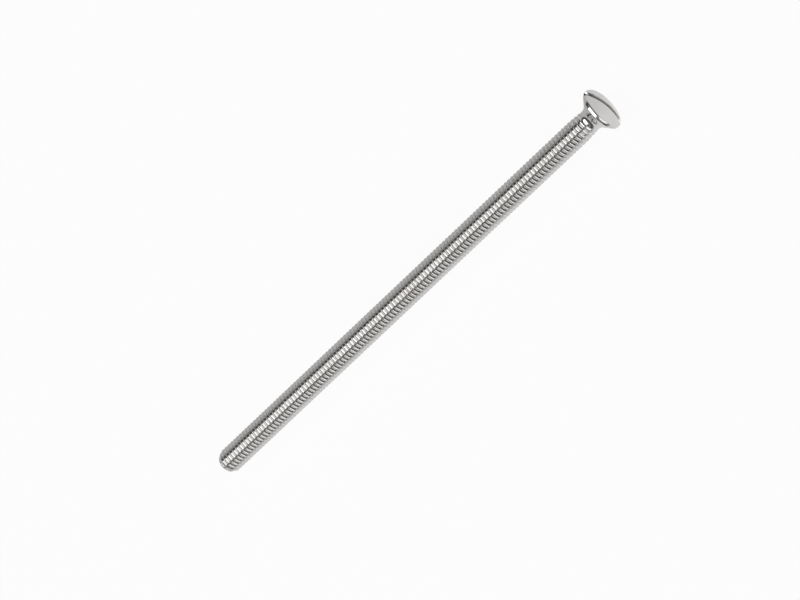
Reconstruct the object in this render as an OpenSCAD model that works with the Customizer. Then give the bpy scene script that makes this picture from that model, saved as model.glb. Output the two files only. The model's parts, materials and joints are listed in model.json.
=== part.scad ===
// Machine screw, M3.5 x 0.6, 75 mm long: a raised countersunk head with a straight slot, and a
// shank that is threaded up to the head. Turned and rolled as one piece.
//
// The screw lies on its side, on the lower edge of its rim and on the end of its thread. The
// origin is where its axis meets the plane of the rim, +X runs toward the head and +Z is up.
// The shank is drawn at the thread's outer diameter, without the groove of the fine thread.

/* [Head] */
// Diameter of the head across its rim
head_d = 6.0; // [5.4:0.1:7.2]
// Height of the dome above the plane of the rim
dome_h = 0.6; // [0.4:0.05:1.0]
// Height of the straight rim, its rounded edge included
rim_h = 0.55; // [0.3:0.05:0.8]
// Radius of the rounded edge between the rim and the dome
rim_edge_r = 0.15; // [0.05:0.01:0.25]
// Full angle of the countersunk cone under the rim
cone_angle = 90; // [80:1:100]
// Radius of the hollow that blends the cone into the neck
neck_fillet_r = 1.4; // [0.4:0.1:2.0]

/* [Drive slot] */
// Width of the slot
slot_w = 0.8; // [0.6:0.05:1.0]
// Depth of the slot, from the top of the dome
slot_depth = 1.3; // [0.8:0.05:1.6]
// Turn of the slot about the screw's axis, from level
slot_turn = 17.5; // [-90:0.5:90]

/* [Shank] */
// Nominal length, from the plane of the rim to the tip
length = 75; // [12:1:100]
// Outer diameter of the thread
thread_d = 3.42; // [3.35:0.01:3.5]
// Diameter of the neck under the head, as the blank had before its thread was rolled
neck_d = 3.05; // [2.8:0.05:3.2]
// Length under the head over which the thread rises to its full height
runout_l = 2.5; // [0.6:0.1:4]
// Length of the taper at the tip
tip_l = 0.8; // [0.3:0.05:1.4]
// Diameter of the flat end face
tip_d = 2.6; // [1.8:0.05:3.0]

/* [Hidden] */
$fn = 96;

// How far a cut runs past the surface that it opens
past = 1;

head_r = head_d / 2;
neck_r = neck_d / 2;
thread_r = thread_d / 2;
tip_r = tip_d / 2;

// The profile is drawn with its radius along X and its height along Y, zero in the rim's plane.
// The neck would meet the cone at this height without the hollow between them.
cone_foot_y = -rim_h - (head_r - neck_r) / tan(cone_angle / 2);
// The hollow's centre, and where it leaves the neck and the cone.
fillet_c = [neck_r + neck_fillet_r, cone_foot_y - neck_fillet_r * tan(cone_angle / 4)];
on_neck = [neck_r, fillet_c.y];
on_cone = fillet_c + neck_fillet_r * [-cos(cone_angle / 2), sin(cone_angle / 2)];

// The dome is part of a sphere that runs smoothly into the rim's rounded edge.
edge_c = [head_r - rim_edge_r, -rim_edge_r];
dome_r = ((dome_h + rim_edge_r) ^ 2 + edge_c.x ^ 2 - rim_edge_r ^ 2) / (2 * dome_h);
dome_c = [0, dome_h - dome_r];
dome_rim_r = edge_c.x + rim_edge_r * edge_c.x / norm(edge_c - dome_c);

// The angle at which the screw lies: its axis rises from the end of the thread to the head.
thread_end_y = tip_l - length;
lie_angle = atan((head_r - thread_r) / (-rim_h - thread_end_y));

// The shank, the cone and the straight part of the rim, in half section.
module straight_profile() {
    polygon([
        [0, -length],
        [tip_r, -length],
        [thread_r, thread_end_y],
        [thread_r, on_neck.y - runout_l],
        on_neck,
        [neck_r, cone_foot_y],
        [head_r, -rim_h],
        [head_r, edge_c.y],
        [0, edge_c.y]
    ]);
}

// What the hollow under the head fills between the neck and the cone.
module neck_fillet() {
    difference() {
        polygon([[0, on_neck.y], on_neck, fillet_c, on_cone, [0, on_cone.y]]);
        translate(fillet_c) circle(neck_fillet_r);
    }
}

// The dome, out to where the rounded edge takes over.
module dome() {
    intersection() {
        translate(dome_c) circle(dome_r);
        translate([0, edge_c.y]) square([dome_rim_r, dome_h - edge_c.y]);
    }
}

// The rounded edge between the rim and the dome.
module rim_edge() {
    translate(edge_c) circle(rim_edge_r);
}

// The screw before its slot is cut, standing on its axis.
module blank() {
    rotate_extrude() straight_profile();
    rotate_extrude() neck_fillet();
    rotate_extrude() dome();
    rotate_extrude() rim_edge();
}

// The slot runs right across the head and is open at both ends.
module drive_slot() {
    slot_l = head_d + 2 * past;
    rotate([0, 0, slot_turn])
        translate([-slot_w / 2, -slot_l / 2, dome_h - slot_depth])
            cube([slot_w, slot_l, slot_depth + past]);
}

module screw() {
    color([0.78, 0.77, 0.74])
        rotate([0, 90 - lie_angle, 0])
            difference() {
                blank();
                drive_slot();
            }
}

screw();
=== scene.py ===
"""A long M3.5 machine screw of nickel-plated steel, lying on a white table under soft studio light.

The screw is one closed mesh: a rolled thread, a neck, and a raised countersunk head with a straight
slot. It is shaped in millimetres along +X, with the plane of its rim at zero, and laid in the row
frame, in metres, once it is whole.
"""

import json
import logging
import math
from dataclasses import dataclass, field
from enum import Enum

import bmesh
import bpy
from mathutils import Matrix, Vector

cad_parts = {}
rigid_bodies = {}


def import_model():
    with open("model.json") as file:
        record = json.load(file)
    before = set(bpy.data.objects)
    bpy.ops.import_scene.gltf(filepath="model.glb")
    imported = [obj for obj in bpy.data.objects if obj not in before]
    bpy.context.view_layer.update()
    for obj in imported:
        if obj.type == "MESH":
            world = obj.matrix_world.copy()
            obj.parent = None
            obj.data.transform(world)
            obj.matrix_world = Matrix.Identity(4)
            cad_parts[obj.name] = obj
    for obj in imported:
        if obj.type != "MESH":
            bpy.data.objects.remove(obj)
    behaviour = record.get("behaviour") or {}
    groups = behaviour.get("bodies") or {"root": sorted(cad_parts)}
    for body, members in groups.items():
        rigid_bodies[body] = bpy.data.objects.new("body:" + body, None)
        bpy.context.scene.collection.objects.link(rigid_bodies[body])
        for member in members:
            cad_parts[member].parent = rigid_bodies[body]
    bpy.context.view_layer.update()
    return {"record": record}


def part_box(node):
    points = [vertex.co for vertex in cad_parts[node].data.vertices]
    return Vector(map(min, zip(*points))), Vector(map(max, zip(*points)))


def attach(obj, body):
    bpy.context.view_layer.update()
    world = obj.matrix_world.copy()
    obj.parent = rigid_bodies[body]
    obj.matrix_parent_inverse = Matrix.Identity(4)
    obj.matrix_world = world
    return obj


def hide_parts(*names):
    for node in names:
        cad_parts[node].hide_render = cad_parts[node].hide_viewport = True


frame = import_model()

LOG = logging.getLogger("machine_screw")
MM = 0.001
FULL_TURN = 2 * math.pi
AXIS = Vector((1, 0, 0))

# Millimetres within which points count as one: on a scored line, on the head, along the thread.
SCORED = 1e-5
WELD = 1e-4
NEAR = 1e-3

Colour = tuple[float, float, float, float]
Stops = tuple[tuple[float, float], ...]


class Node(str, Enum):
    """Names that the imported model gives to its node, its body and its finish."""

    SCREW = "screw"
    BODY = "root"
    PLATE = "nickel_plate"


@dataclass(frozen=True)
class Lie:
    """How the screw lies in the row frame, as its mounts state it.

    Attributes:
        along: the screw's axis, from its tip to its head.
        seat: the centre of the rim's plane, in metres.
        thread_r: outer radius of the thread, in millimetres.
    """

    along: Vector
    seat: Vector
    thread_r: float

    @classmethod
    def from_record(cls, record: dict) -> "Lie":
        """Reads the thread's radius and direction, and the seat's place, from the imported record.

        Args:
            record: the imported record.

        Returns:
            The lie of the screw.
        """
        mounts = {mount["name"]: mount for mount in record["mounts"]}
        thread = mounts["thread"]
        return cls(
            along=-Vector(thread["axis"]).normalized(),
            seat=Vector(mounts["head_seat"]["pos_m"]),
            thread_r=thread["dims"]["r_mm"],
        )

    @property
    def turn(self) -> Matrix:
        """The rotation that takes +X to the screw's axis and keeps Y level."""
        rise = math.atan2(self.along.z, self.along.x)
        return Matrix.Rotation(-rise, 4, "Y")

    @property
    def matrix(self) -> Matrix:
        """Takes millimetres along the screw's own axis to metres in the row frame."""
        return Matrix.Translation(self.seat) @ self.turn @ Matrix.Scale(MM, 4)

    def point(self, x: float, y: float = 0.0, z: float = 0.0) -> Vector:
        """A point of the screw's own frame, in millimetres, as a point of the row frame."""
        return self.matrix @ Vector((x, y, z))


class Pen:
    """Draws half a section in the XY plane, with its radius along Y, by drawing out one vertex."""

    def __init__(self, bm: bmesh.types.BMesh, x: float, radius: float) -> None:
        """Starts a line at a height and radius.

        Args:
            bm: the mesh to draw in.
            x: height along the axis.
            radius: distance from the axis.
        """
        self.bm = bm
        self.tip = bm.verts.new((x, radius, 0.0))

    def line_to(self, x: float, radius: float) -> None:
        """Draws a straight line to a height and radius."""
        drawn = bmesh.ops.extrude_vert_indiv(self.bm, verts=[self.tip])
        self.tip = drawn["verts"][0]
        self.tip.co = (x, radius, 0.0)

    def arc(self, x: float, radius: float, turn: float, steps: int) -> None:
        """Draws an arc about a centre.

        Args:
            x: height of the centre.
            radius: the centre's distance from the axis.
            turn: angle to draw, in degrees, positive from +X to +Y.
            steps: straight pieces that the arc is made of.
        """
        drawn = bmesh.ops.spin(
            self.bm,
            geom=[self.tip],
            cent=(x, radius, 0.0),
            axis=(0, 0, 1),
            dvec=(0, 0, 0),
            angle=math.radians(turn),
            steps=steps,
            use_merge=False,
        )
        self.tip = [v for v in drawn["geom_last"] if isinstance(v, bmesh.types.BMVert)][0]


def turn_about_axis(bm: bmesh.types.BMesh, degrees: float) -> None:
    """Turns a whole mesh about the screw's axis, from +Y to +Z."""
    turn = Matrix.Rotation(math.radians(degrees), 3, "X")
    bmesh.ops.rotate(bm, verts=bm.verts, cent=(0, 0, 0), matrix=turn)


@dataclass
class Head:
    """The raised countersunk head, its slot and its neck, in millimetres.

    Attributes:
        radius: of the rim, a hair small, so that the head stays inside the CAD model's box.
        dome_h: height of the dome above the plane of the rim.
        rim_h: height of the straight rim, with its rounded edge.
        edge_r: radius of the rounded edge between rim and dome.
        foot_r: radius at which the rim's lower edge is worn.
        cone_half: half the angle of the cone, in degrees.
        neck_r: radius of the neck.
        fillet_r: radius of the hollow between cone and neck.
        slot_w: width of the slot.
        slot_depth: depth of the slot from the top of the dome.
        slot_turn: turn of the slot about the axis, in degrees from level.
        slot_edge_r: radius at which the slot's upper edges are rolled.
        steps: facets round the head.
        dome_steps: facets down the dome.
        edge_steps: facets down the rounded edge.
        foot_steps: facets down the rim's lower edge.
        fillet_steps: facets down the hollow.
        roll_steps: facets across each rolled edge of the slot.
    """

    radius: float = 2.998
    dome_h: float = 0.6
    rim_h: float = 0.55
    edge_r: float = 0.25
    foot_r: float = 0.08
    cone_half: float = 45.0
    neck_r: float = 1.525
    fillet_r: float = 1.4
    slot_w: float = 0.8
    slot_depth: float = 1.3
    slot_turn: float = 17.5
    slot_edge_r: float = 0.03
    steps: int = 128
    dome_steps: int = 24
    edge_steps: int = 6
    foot_steps: int = 3
    fillet_steps: int = 10
    roll_steps: int = 3

    @property
    def neck_x(self) -> float:
        """Height at which the hollow ends and the neck begins."""
        half = math.radians(self.cone_half)
        foot = -self.rim_h - (self.radius - self.neck_r) / math.tan(half)
        return foot - self.fillet_r * math.tan(half / 2)

    @property
    def slot_floor(self) -> float:
        """Height of the slot's floor."""
        return self.dome_h - self.slot_depth

    def build(self) -> bmesh.types.BMesh:
        """Makes the head, open at its neck.

        Returns:
            The mesh of the head.
        """
        bm = bmesh.new()
        self._turn_on_lathe(bm)
        self._cut_slot(bm)
        turn_about_axis(bm, self.slot_turn)
        return bm

    def _turn_on_lathe(self, bm: bmesh.types.BMesh) -> None:
        """Draws the section from the top of the dome to the neck and spins it about the axis."""
        edge_x, edge_y = -self.edge_r, self.radius - self.edge_r
        dome_r = ((self.dome_h + self.edge_r) ** 2 + edge_y**2 - self.edge_r**2) / (2 * self.dome_h)
        dome_x = self.dome_h - dome_r
        dome_turn = math.degrees(math.atan2(edge_y, edge_x - dome_x))
        cone = 90.0 - self.cone_half
        foot_x = -self.rim_h + self.foot_r * math.tan(math.radians(cone / 2))
        half = math.radians(self.cone_half)
        fillet_y = self.neck_r + self.fillet_r
        cone_x = self.neck_x + self.fillet_r * math.sin(half)
        cone_y = fillet_y - self.fillet_r * math.cos(half)
        pen = Pen(bm, self.dome_h, 0.0)
        pen.arc(dome_x, 0.0, dome_turn, self.dome_steps)
        pen.arc(edge_x, edge_y, 90.0 - dome_turn, self.edge_steps)
        pen.line_to(foot_x, self.radius)
        pen.arc(foot_x, self.radius - self.foot_r, cone, self.foot_steps)
        pen.line_to(cone_x, cone_y)
        pen.arc(self.neck_x, fillet_y, -self.cone_half, self.fillet_steps)
        bmesh.ops.spin(
            bm,
            geom=[*bm.verts, *bm.edges],
            cent=(0, 0, 0),
            axis=AXIS,
            dvec=(0, 0, 0),
            angle=FULL_TURN,
            steps=self.steps,
            use_merge=True,
        )
        bmesh.ops.remove_doubles(bm, verts=bm.verts, dist=WELD)

    def _cut_slot(self, bm: bmesh.types.BMesh) -> None:
        """Cuts the level slot, rolls its upper edges, and closes its walls and floor."""
        half = self.slot_w / 2
        for side in (-1, 1):
            for step in range(self.roll_steps + 1):
                angle = math.radians(90.0 * step / self.roll_steps)
                wide = half + self.slot_edge_r * (1 - math.sin(angle))
                self._score(bm, (0, 0, side * wide), (0, 0, 1))
        self._score(bm, (self.slot_floor, 0, 0), (1, 0, 0), half)
        spoil = [f for f in bm.faces if self._in_slot(f.calc_center_median())]
        bmesh.ops.delete(bm, geom=spoil, context="FACES")
        for vert in bm.verts:
            out = (abs(vert.co.z) - half) / self.slot_edge_r
            if vert.co.x > -self.edge_r and -NEAR < out < 1:
                vert.co.x -= self.slot_edge_r * (1 - math.sqrt(max(0.0, 1 - (1 - out) ** 2)))
        self._close_slot(bm)

    @staticmethod
    def _score(bm: bmesh.types.BMesh, at: tuple, normal: tuple, within: float = math.inf) -> None:
        """Cuts the faces along a plane and keeps both sides.

        Args:
            bm: the mesh to cut.
            at: a point of the plane.
            normal: the plane's normal.
            within: distance from the level plane through the axis up to which faces are cut.
        """
        faces = [f for f in bm.faces if abs(f.calc_center_median().z) < within]
        geom = dict.fromkeys(element for f in faces for element in (*f.verts, *f.edges, f))
        bmesh.ops.bisect_plane(bm, geom=list(geom), dist=SCORED, plane_co=at, plane_no=normal)

    def _in_slot(self, point: Vector) -> bool:
        """Whether a point of the head's skin is cut away by the slot."""
        return abs(point.z) < self.slot_w / 2 and point.x > self.slot_floor

    def _on_floor(self, vert: bmesh.types.BMVert) -> bool:
        """Whether a vertex lies in the plane of the slot's floor."""
        return abs(vert.co.x - self.slot_floor) < NEAR

    def _close_slot(self, bm: bmesh.types.BMesh) -> None:
        """Makes the slot's two walls and its floor from the edges that its cut left open."""
        half, lowest = self.slot_w / 2, self.slot_floor - NEAR
        rims = [e for e in bm.edges if e.is_boundary and all(v.co.x > lowest for v in e.verts)]
        floor_edges = [e for e in rims if all(self._on_floor(v) for v in e.verts)]
        for side in (-1, 1):
            wall = [e for e in rims if all(abs(v.co.z - side * half) < NEAR for v in e.verts)]
            corners = {v for e in wall for v in e.verts if self._on_floor(v)}
            foot = bm.edges.new(sorted(corners, key=lambda v: v.co.y))
            floor_edges.append(foot)
            bmesh.ops.contextual_create(bm, geom=[*wall, foot])
        bmesh.ops.contextual_create(bm, geom=floor_edges)


@dataclass
class Thread:
    """The rolled thread, right-handed, in millimetres.

    Attributes:
        length: from the plane of the rim to the tip, a hair short, as the head is.
        outer_r: radius at the crest.
        pitch: distance between crests.
        depth: height of the crest above the root.
        root_round: radius of the root.
        crest_round: radius of the crest's two edges.
        flank: angle of the flanks to a section square to the axis, in degrees.
        band: width of the narrow facets that keep the middle of each flank flat in shading.
        tip_r: radius of the end face.
        tip_l: length of the taper at the tip.
        runout_l: length under the head over which the crests rise to their full height.
        end_ridge: share of their height that the crests have where the run-out starts.
        fade_l: length beside the neck over which ridge and groove close to the neck's radius.
        start: turn at which the thread is started, in degrees.
        spare_turns: turns that are drawn beyond the tip and cut off.
        steps: facets round the thread.
        round_steps: facets across each rounded root and edge.
    """

    length: float = 74.999
    outer_r: float = 1.71
    pitch: float = 0.6
    depth: float = 0.32
    root_round: float = 0.07
    crest_round: float = 0.12
    flank: float = 30.0
    band: float = 0.015
    tip_r: float = 1.3
    tip_l: float = 0.8
    runout_l: float = 2.0
    end_ridge: float = 0.2
    fade_l: float = 0.2
    start: float = -72.0
    spare_turns: int = 2
    steps: int = 48
    round_steps: int = 2

    def build(self, neck_x: float, neck_r: float) -> bmesh.types.BMesh:
        """Makes the thread, closed at its tip and open at the neck.

        Args:
            neck_x: height at which the thread ends in the neck.
            neck_r: radius of the neck.

        Returns:
            The mesh of the thread.
        """
        bm = bmesh.new()
        self._draw_ridge(bm)
        bmesh.ops.spin(
            bm,
            geom=[*bm.verts, *bm.edges],
            cent=(0, 0, 0),
            axis=AXIS,
            dvec=(self.pitch / self.steps, 0, 0),
            angle=FULL_TURN,
            steps=self.steps,
            use_merge=False,
        )
        self._repeat(bm, math.ceil((self.length + neck_x) / self.pitch) + self.spare_turns + 1)
        bmesh.ops.remove_doubles(bm, verts=bm.verts, dist=NEAR)
        turn_about_axis(bm, self.start)
        self._taper(bm, neck_x, neck_r)
        self._trim(bm, neck_x)
        return bm

    def _draw_ridge(self, bm: bmesh.types.BMesh) -> None:
        """Draws one pitch of the section, from the middle of one root to the middle of the next."""
        lean = 90.0 - self.flank
        flank, leaning = math.radians(self.flank), math.radians(lean)
        low_x = self.root_round * math.sin(leaning)
        low_y = self.root_round * (1 - math.cos(leaning))
        high_y = self.depth - self.crest_round * (1 - math.cos(leaning))
        high_x = low_x + (high_y - low_y) * math.tan(flank)
        crest_x = high_x + self.crest_round * math.sin(leaning)
        band_x = self.band * math.sin(flank)
        band_y = self.band * math.sin(leaning)
        root_r = self.outer_r - self.depth
        start = -self.length - self.spare_turns * self.pitch
        end = start + self.pitch
        pen = Pen(bm, start, root_r)
        pen.arc(start, root_r + self.root_round, lean, self.round_steps)
        pen.line_to(start + low_x + band_x, root_r + low_y + band_y)
        pen.line_to(start + high_x - band_x, root_r + high_y - band_y)
        pen.line_to(start + high_x, root_r + high_y)
        pen.arc(start + crest_x, self.outer_r - self.crest_round, -lean, self.round_steps)
        pen.line_to(end - crest_x, self.outer_r)
        pen.arc(end - crest_x, self.outer_r - self.crest_round, -lean, self.round_steps)
        pen.line_to(end - high_x + band_x, root_r + high_y - band_y)
        pen.line_to(end - low_x - band_x, root_r + low_y + band_y)
        pen.line_to(end - low_x, root_r + low_y)
        pen.arc(end, root_r + self.root_round, lean, self.round_steps)

    def _repeat(self, bm: bmesh.types.BMesh, turns: int) -> None:
        """Sets turn behind turn, with twice as many each time.

        Args:
            bm: the mesh, which holds the first turn.
            turns: turns to make at least.
        """
        made = 1
        while made < turns:
            copied = bmesh.ops.duplicate(bm, geom=[*bm.verts, *bm.edges, *bm.faces])
            moved = [v for v in copied["geom"] if isinstance(v, bmesh.types.BMVert)]
            bmesh.ops.translate(bm, verts=moved, vec=AXIS * self.pitch * made)
            made *= 2

    @staticmethod
    def _eased(share: float) -> float:
        """Turns a share of a length into a smooth rise from 0 to 1."""
        share = max(0.0, min(1.0, share))
        return share * share * (3 - 2 * share)

    def _taper(self, bm: bmesh.types.BMesh, neck_x: float, neck_r: float) -> None:
        """Draws the thread in toward its tip, and toward the neck under the head.

        Args:
            bm: the mesh of the thread.
            neck_x: height at which the thread ends in the neck.
            neck_r: radius of the neck.
        """
        for vert in bm.verts:
            x, radius = vert.co.x, vert.co.yz.length
            from_tip = max(0.0, x + self.length)
            from_neck = max(0.0, neck_x - x)
            grown = radius - neck_r
            if grown > 0:
                grown *= self.end_ridge + (1 - self.end_ridge) * min(1.0, from_neck / self.runout_l)
            grown *= self._eased(from_neck / self.fade_l)
            taper = self.tip_r + (self.outer_r - self.tip_r) * min(1.0, from_tip / self.tip_l)
            scale = min(neck_r + grown, taper) / radius
            vert.co.y *= scale
            vert.co.z *= scale

    def _trim(self, bm: bmesh.types.BMesh, neck_x: float) -> None:
        """Cuts the thread off at its tip and at the neck, and closes the tip with a flat face.

        Args:
            bm: the mesh of the thread.
            neck_x: height at which the thread ends in the neck.
        """
        for at, outward in ((-self.length, -1), (neck_x, 1)):
            bmesh.ops.bisect_plane(
                bm,
                geom=[*bm.verts, *bm.edges, *bm.faces],
                dist=WELD,
                plane_co=(at, 0, 0),
                plane_no=(outward, 0, 0),
                clear_outer=True,
            )
        end = [e for e in bm.edges if e.is_boundary and e.verts[0].co.x < -self.length + NEAR]
        bmesh.ops.contextual_create(bm, geom=end)


class Graph:
    """The nodes of a material or a world."""

    def __init__(self, owner: bpy.types.ID) -> None:
        """Turns the nodes of a material or a world on."""
        owner.use_nodes = True
        self.owner = owner
        self.nodes = owner.node_tree.nodes
        self.links = owner.node_tree.links

    def feed(self, node: bpy.types.Node, inputs: dict) -> None:
        """Sets inputs of a node.

        Args:
            node: the node.
            inputs: for an input's name or number, its value or the output that it is linked to.
        """
        for key, source in inputs.items():
            if isinstance(source, bpy.types.NodeSocket):
                self.links.new(source, node.inputs[key])
            else:
                node.inputs[key].default_value = source

    def add(self, kind: str, inputs: dict | None = None, **settings: str) -> bpy.types.Node:
        """Adds a node.

        Args:
            kind: the node's type, without the prefix that all of them share.
            inputs: what its inputs are set or linked to.
            **settings: the node's own settings, which decide what inputs it has.

        Returns:
            The node.
        """
        node = self.nodes.new(f"ShaderNode{kind}")
        for name, value in settings.items():
            setattr(node, name, value)
        self.feed(node, inputs or {})
        return node

    def ramp(self, stops: Stops, factor: bpy.types.NodeSocket) -> bpy.types.NodeSocket:
        """Adds a grey ramp.

        Args:
            stops: position and level of each stop, in order.
            factor: the output that it follows.

        Returns:
            The ramp's colour.
        """
        node = self.add("ValToRGB", {"Fac": factor})
        marks = node.color_ramp.elements
        while len(marks) < len(stops):
            marks.new(0.5)
        for mark, (at, level) in zip(marks, stops):
            mark.position = at
            mark.color = (level, level, level, 1)
        return node.outputs["Color"]


@dataclass(frozen=True)
class Noise:
    """A noise in the metal.

    Attributes:
        scale: how fine it is, in spots for each metre.
        detail: finer layers that it has.
    """

    scale: float
    detail: float

    def build(self, graph: Graph, place: bpy.types.NodeSocket) -> bpy.types.NodeSocket:
        """Adds the noise at the place given and returns its level."""
        inputs = {"Vector": place, "Scale": self.scale, "Detail": self.detail}
        return graph.add("TexNoise", inputs).outputs["Fac"]


@dataclass(frozen=True)
class NickelPlate:
    """Bright nickel plate on rolled steel, a little worn, with painted shade that darkens the
    thread's roots.

    Attributes:
        bright: colour of plate that has not yellowed, outside the painted shade.
        warm: colour of plate that has yellowed a little.
        root: colour of the roots, darker than the plate: painted shade.
        roughness: of unworn plate.
        worn: roughness of handled plate.
        clouds: the soft clouds that tone and wear follow.
        yellowing: level of the clouds at which the plate starts to turn warm, and at which it has.
        wearing: level of the clouds at which the plate starts to dull, and at which it has.
        grain: the fine grain of the plated surface.
        grain_strength: how strongly the grain is felt.
        grain_h: height of the grain, in millimetres.
        shade_depth: share of the thread's depth, from the crest, at which the painted shade starts.
        shade_top: height on the axis above which there is no thread and no painted shade, in
            millimetres.
    """

    bright: Colour = (0.61, 0.605, 0.60, 1)
    warm: Colour = (0.60, 0.59, 0.575, 1)
    root: Colour = (0.50, 0.485, 0.47, 1)
    roughness: float = 0.10
    worn: float = 0.16
    clouds: Noise = Noise(scale=260.0, detail=3.0)
    yellowing: tuple[float, float] = (0.40, 0.62)
    wearing: tuple[float, float] = (0.35, 0.70)
    grain: Noise = Noise(scale=5200.0, detail=4.0)
    grain_strength: float = 0.04
    grain_h: float = 0.02
    shade_depth: float = 0.8
    shade_top: float = -2.6

    def build(self, lie: Lie, thread: Thread) -> bpy.types.Material:
        """Makes the material.

        Args:
            lie: how the screw lies, which gives the axis that the roots are measured from.
            thread: the thread, whose crest and depth set where the roots begin.

        Returns:
            The material.
        """
        graph = Graph(bpy.data.materials.new(Node.PLATE.value))
        place = graph.add("TexCoord").outputs["Object"]
        clouds = self.clouds.build(graph, place)

        low, high = self.yellowing
        yellow = graph.add("MapRange", {"Value": clouds, "From Min": low, "From Max": high})
        tone = graph.add(
            "Mix",
            {"Factor": yellow.outputs["Result"], "A": self.bright, "B": self.warm},
            data_type="RGBA",
        )
        # Painted shade: the thread's roots are mixed toward the darker root colour.
        unshaded = self._unshaded_mask(graph, place, lie, thread)
        colour = graph.add(
            "Mix",
            {"Factor": unshaded, "A": self.root, "B": tone.outputs["Result"]},
            data_type="RGBA",
        )

        low, high = self.wearing
        dull = graph.add(
            "MapRange",
            {
                "Value": clouds,
                "From Min": low,
                "From Max": high,
                "To Min": self.roughness,
                "To Max": self.worn,
            },
        )
        bump = graph.add(
            "Bump",
            {
                "Strength": self.grain_strength,
                "Distance": self.grain_h * MM,
                "Height": self.grain.build(graph, place),
            },
        )
        graph.feed(
            graph.nodes["Principled BSDF"],
            {
                "Metallic": 1.0,
                "Base Color": colour.outputs["Result"],
                "Roughness": dull.outputs["Result"],
                "Normal": bump.outputs["Normal"],
            },
        )
        return graph.owner

    def _unshaded_mask(
        self, graph: Graph, place: bpy.types.NodeSocket, lie: Lie, thread: Thread
    ) -> bpy.types.NodeSocket:
        """Adds the mask of painted shade: 0 in the thread's roots, which are painted darker, and 1
        on the head, neck and crests.

        Args:
            graph: the material's nodes.
            place: the place on the screw.
            lie: how the screw lies.
            thread: the thread.

        Returns:
            The output that tells them apart.
        """
        across = graph.add("VectorMath", {0: place, 1: lie.along}, operation="CROSS_PRODUCT")
        radius = graph.add("VectorMath", {0: across.outputs["Vector"]}, operation="LENGTH")
        risen = graph.add(
            "MapRange",
            {
                "Value": radius.outputs["Value"],
                "From Min": (thread.outer_r - thread.depth) * MM,
                "From Max": (thread.outer_r - thread.depth * self.shade_depth) * MM,
            },
            interpolation_type="SMOOTHSTEP",
        )
        height = graph.add("VectorMath", {0: place, 1: lie.along}, operation="DOT_PRODUCT")
        on_head = graph.add(
            "Math",
            {0: height.outputs["Value"], 1: self.shade_top * MM},
            operation="GREATER_THAN",
        )
        unshaded = graph.add(
            "Math",
            {0: risen.outputs["Result"], 1: on_head.outputs[0]},
            operation="MAXIMUM",
        )
        return unshaded.outputs[0]


@dataclass
class Screw:
    """The whole screw: head and thread joined at the neck, laid in the row frame and plated.

    Attributes:
        lie: how the screw lies.
        head: the head.
        thread: the thread.
        plate: the finish.
        neck_gap: length of the plain neck between thread and head, in millimetres.
        crease: angle between two faces above which their edge is shaded sharp, in degrees.
    """

    lie: Lie
    head: Head = field(default_factory=Head)
    thread: Thread = field(default_factory=Thread)
    plate: NickelPlate = field(default_factory=NickelPlate)
    neck_gap: float = 0.06
    crease: float = 38.0

    def build(self) -> bpy.types.Object:
        """Makes the screw and hands it to the frame.

        Returns:
            The finished piece.
        """
        bm = self._shape()
        open_edges = sum(1 for e in bm.edges if not e.is_manifold)
        mesh = bpy.data.meshes.new("screw_body")
        bm.to_mesh(mesh)
        bm.free()
        mesh.set_sharp_from_angle(angle=math.radians(self.crease))
        mesh.materials.append(self.plate.build(self.lie, self.thread))
        piece = bpy.data.objects.new("screw_body", mesh)
        bpy.context.scene.collection.objects.link(piece)
        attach(piece, Node.BODY.value)
        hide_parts(Node.SCREW.value)
        mesh.calc_loop_triangles()
        LOG.info("screw_body: %d triangles, %d open edges", len(mesh.loop_triangles), open_edges)
        return piece

    def _shape(self) -> bmesh.types.BMesh:
        """Joins head and thread in one mesh, and lays it in the row frame.

        Returns:
            The mesh of the screw, in metres.
        """
        bm = self.head.build()
        shank = self.thread.build(self.head.neck_x - self.neck_gap, self.head.neck_r)
        loose = bpy.data.meshes.new("shank")
        shank.to_mesh(loose)
        shank.free()
        bm.from_mesh(loose)
        bpy.data.meshes.remove(loose)
        bmesh.ops.bridge_loops(bm, edges=[e for e in bm.edges if e.is_boundary])
        bmesh.ops.recalc_face_normals(bm, faces=bm.faces)
        bmesh.ops.transform(bm, matrix=self.lie.matrix, verts=bm.verts)
        for face in bm.faces:
            face.smooth = True
        return bm


@dataclass(frozen=True)
class SoftBox:
    """A rectangular soft light that faces the middle of the screw.

    Attributes:
        name: name of the lamp.
        side: angle from straight above to the screw's right, in degrees.
        back: angle from square to the screw toward its tip, in degrees.
        away: distance from the screw, in metres.
        width: angle that it fills across the screw, in degrees.
        length: angle that it fills along the screw, in degrees.
        level: brightness, where 1 is white.
    """

    name: str
    side: float
    back: float
    away: float
    width: float
    length: float
    level: float

    def build(self, lie: Lie, middle: Vector) -> bpy.types.Object:
        """Hangs the light.

        Args:
            lie: how the screw lies.
            middle: the point that the light faces.

        Returns:
            The lamp.
        """
        side, back = math.radians(self.side), math.radians(self.back)
        toward = Vector(
            (-math.sin(back), -math.sin(side) * math.cos(back), math.cos(side) * math.cos(back))
        )
        along = (AXIS - toward * AXIS.dot(toward)).normalized()
        across = along.cross(toward)
        data = bpy.data.lights.new(self.name, "AREA")
        data.shape = "RECTANGLE"
        data.size = 2 * self.away * math.tan(math.radians(self.width / 2))
        data.size_y = 2 * self.away * math.tan(math.radians(self.length / 2))
        data.energy = self.level * math.pi * data.size * data.size_y
        lamp = bpy.data.objects.new(self.name, data)
        bpy.context.scene.collection.objects.link(lamp)
        turn = lie.turn @ Matrix((across, along, toward)).transposed().to_4x4()
        lamp.matrix_world = Matrix.Translation(middle) @ turn @ Matrix.Translation((0, 0, self.away))
        lamp.visible_camera = False
        return lamp


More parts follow.
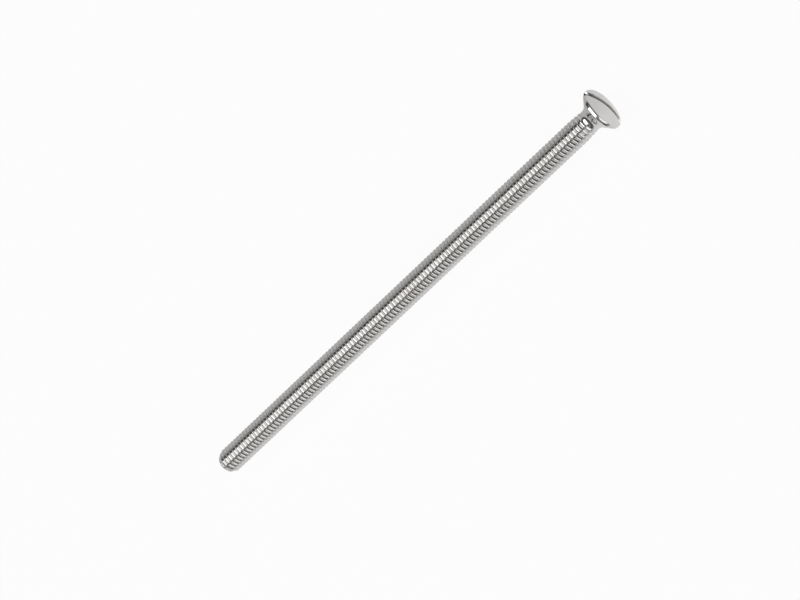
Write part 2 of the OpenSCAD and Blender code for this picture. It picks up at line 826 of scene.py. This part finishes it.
@dataclass(frozen=True)
class WhiteTop:
    """The table's surface: white to the eye, with the screw's shadow, and grey in the screw's metal,
    where a painted reflection glows in glossy rays only.

    Attributes:
        paint: colour of the paint that the shadow falls on.
        roughness: of the paint.
        to_eye: share of plain white in what the eye sees.
        reach: distance from the screw's axis at which both ramps end, in millimetres.
        blend: half the length over which one ramp takes over from the other, in millimetres.
        beside: how white the table's painted reflection is in the metal beside the screw, from one
            side to the other.
        before: how white its painted reflection is beyond the head, in the same way.
    """

    paint: Colour = (0.8, 0.8, 0.8, 1)
    roughness: float = 0.9
    to_eye: float = 0.95
    reach: float = 12.0
    blend: float = 0.5
    beside: Stops = (
        (0.0, 0.20),
        (0.417, 0.30),
        (0.5, 0.56),
        (0.708, 0.85),
        (0.875, 0.95),
        (1.0, 0.76),
    )
    before: Stops = ((0.0, 0.68), (0.40, 0.71), (0.5, 0.87), (0.62, 1.0), (1.0, 1.0))

    def build(self) -> bpy.types.Material:
        """Makes the material.

        Returns:
            The material.
        """
        graph = Graph(bpy.data.materials.new("white_table"))
        paint = graph.nodes["Principled BSDF"]
        graph.feed(paint, {"Base Color": self.paint, "Roughness": self.roughness})
        white = graph.add("Emission")
        rays = graph.add("LightPath")
        place = graph.add("SeparateXYZ", {0: graph.add("TexCoord").outputs["Object"]})
        reach, blend = self.reach * MM, self.blend * MM
        across = graph.add(
            "MapRange", {"Value": place.outputs["Y"], "From Min": reach, "From Max": -reach}
        ).outputs["Result"]
        beyond = graph.add(
            "MapRange", {"Value": place.outputs["X"], "From Min": -blend, "From Max": blend}
        )
        level = graph.add(
            "Mix",
            {
                "Factor": beyond.outputs["Result"],
                "A": graph.ramp(self.beside, across),
                "B": graph.ramp(self.before, across),
            },
            data_type="RGBA",
        )
        # Painted reflection: in glossy rays the table glows white by the ramps' level.
        in_metal = graph.add(
            "Math",
            {0: rays.outputs["Is Glossy Ray"], 1: level.outputs["Result"]},
            operation="MULTIPLY",
        )
        share = graph.add(
            "Math",
            {0: rays.outputs["Is Camera Ray"], 1: self.to_eye, 2: in_metal.outputs[0]},
            operation="MULTIPLY_ADD",
        )
        mix = graph.add(
            "MixShader",
            {"Fac": share.outputs[0], 1: paint.outputs["BSDF"], 2: white.outputs["Emission"]},
        )
        graph.feed(graph.nodes["Material Output"], {"Surface": mix.outputs["Shader"]})
        return graph.owner


@dataclass(frozen=True)
class Table:
    """The table that the screw lies on.

    Attributes:
        drop: gap between the table and the lowest point of the screw, in millimetres.
        size: side of the table, in metres.
        top: its finish, with the painted reflection that it shows in the metal.
    """

    drop: float = 0.002
    size: float = 4.0
    top: WhiteTop = WhiteTop()

    def build(self) -> bpy.types.Object:
        """Makes the table.

        Returns:
            The table.
        """
        bm = bmesh.new()
        bmesh.ops.create_grid(bm, x_segments=1, y_segments=1, size=self.size / 2)
        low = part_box(Node.SCREW.value)[0].z - self.drop * MM
        bmesh.ops.translate(bm, verts=bm.verts, vec=(0, 0, low))
        mesh = bpy.data.meshes.new("table")
        bm.to_mesh(mesh)
        bm.free()
        mesh.materials.append(self.top.build())
        table = bpy.data.objects.new("table", mesh)
        bpy.context.scene.collection.objects.link(table)
        return table


@dataclass(frozen=True)
class Air:
    """The room around the table: dim, white to the eye, and grey by height in the screw's metal.

    Attributes:
        level: how bright the room is as a light.
        heights: how white it is in the metal, from the height of the table to straight above.
    """

    level: float = 0.04
    heights: Stops = (
        (0.0, 0.74),
        (0.17, 0.25),
        (0.29, 0.01),
        (0.42, 0.06),
        (0.58, 0.24),
        (0.85, 0.24),
        (1.0, 0.27),
    )

    def build(self) -> bpy.types.World:
        """Makes the air.

        Returns:
            The world.
        """
        graph = Graph(bpy.data.worlds.new("air"))
        dim = graph.nodes["Background"]
        graph.feed(dim, {"Color": (self.level, self.level, self.level, 1)})
        white = graph.add("Background", {"Color": (1, 1, 1, 1)})
        rays = graph.add("LightPath")
        place = graph.add("SeparateXYZ", {0: graph.add("TexCoord").outputs["Generated"]})
        share = graph.add(
            "Math",
            {
                0: rays.outputs["Is Glossy Ray"],
                1: graph.ramp(self.heights, place.outputs["Z"]),
                2: rays.outputs["Is Camera Ray"],
            },
            operation="MULTIPLY_ADD",
        )
        mix = graph.add(
            "MixShader",
            {
                "Fac": share.outputs[0],
                1: dim.outputs["Background"],
                2: white.outputs["Background"],
            },
        )
        graph.feed(graph.nodes["World Output"], {"Surface": mix.outputs["Shader"]})
        return graph.owner


@dataclass(frozen=True)
class View:
    """The camera, which looks down on the screw with its head toward it.

    Attributes:
        tilt: angle by which the head leans toward the camera, in degrees.
        roll: angle of the screw in the picture, above level, in degrees.
        away: distance from the camera to the middle of the view, in millimetres.
        back: distance from the plane of the rim to the middle of the view, in millimetres.
        lens: focal length, in millimetres.
        sensor: width of the sensor, in millimetres.
        nearest: distance at which things start to be seen, in metres.
    """

    tilt: float = 27.0
    roll: float = 43.36
    away: float = 489.5
    back: float = 39.22
    lens: float = 170.34
    sensor: float = 36.0
    nearest: float = 0.01

    def build(self, lie: Lie) -> bpy.types.Object:
        """Sets the camera up.

        Args:
            lie: how the screw lies.

        Returns:
            The camera.
        """
        lean, spin = math.radians(self.tilt), math.radians(self.roll)
        toward = Vector((math.sin(lean), 0, math.cos(lean)))
        along = Vector((math.cos(lean), 0, -math.sin(lean)))
        across = Vector((0, -1, 0))
        right = along * math.cos(spin) + across * math.sin(spin)
        up = along * math.sin(spin) - across * math.cos(spin)
        turn = lie.turn @ Matrix((right, up, toward)).transposed().to_4x4()
        data = bpy.data.cameras.new("camera")
        data.lens = self.lens
        data.sensor_width = self.sensor
        data.clip_start = self.nearest
        camera = bpy.data.objects.new("camera", data)
        bpy.context.scene.collection.objects.link(camera)
        place = Vector((-self.back, 0, 0)) + toward * self.away
        camera.matrix_world = Matrix.Translation(lie.point(*place)) @ turn
        return camera


@dataclass
class Studio:
    """The table, the soft lights, the air and the camera.

    Attributes:
        lie: how the screw lies, which the lights and the camera follow.
        table: the table.
        boxes: the soft lights.
        lit_x: height on the screw's axis that the lights face, in millimetres.
        air: the room.
        view: the camera.
    """

    lie: Lie
    table: Table = Table()
    boxes: tuple[SoftBox, ...] = (
        SoftBox("key_light", side=-21, back=22, away=2.0, width=50, length=40, level=2.7),
        SoftBox("fill_light", side=46.5, back=-20, away=2.0, width=51, length=78, level=1.2),
    )
    lit_x: float = -37.0
    air: Air = Air()
    view: View = View()

    def build(self) -> None:
        """Sets up the table, the lights, the air and the camera."""
        scene = bpy.context.scene
        scene.view_settings.view_transform = "Standard"
        self.table.build()
        LOG.info("table: %.1f m wide", self.table.size)
        for box in self.boxes:
            box.build(self.lie, self.lie.point(self.lit_x))
            LOG.info("%s: level %.2f", box.name, box.level)
        scene.world = self.air.build()
        LOG.info("air: level %.2f", self.air.level)
        scene.camera = self.view.build(self.lie)
        LOG.info("camera: %.0f mm away", self.view.away)


def main() -> None:
    """Builds the screw and its studio."""
    logging.basicConfig(level=logging.INFO, format="%(name)s: %(message)s")
    lie = Lie.from_record(frame["record"])
    Screw(lie, thread=Thread(outer_r=lie.thread_r)).build()
    Studio(lie).build()


if __name__ == "__main__":
    main()
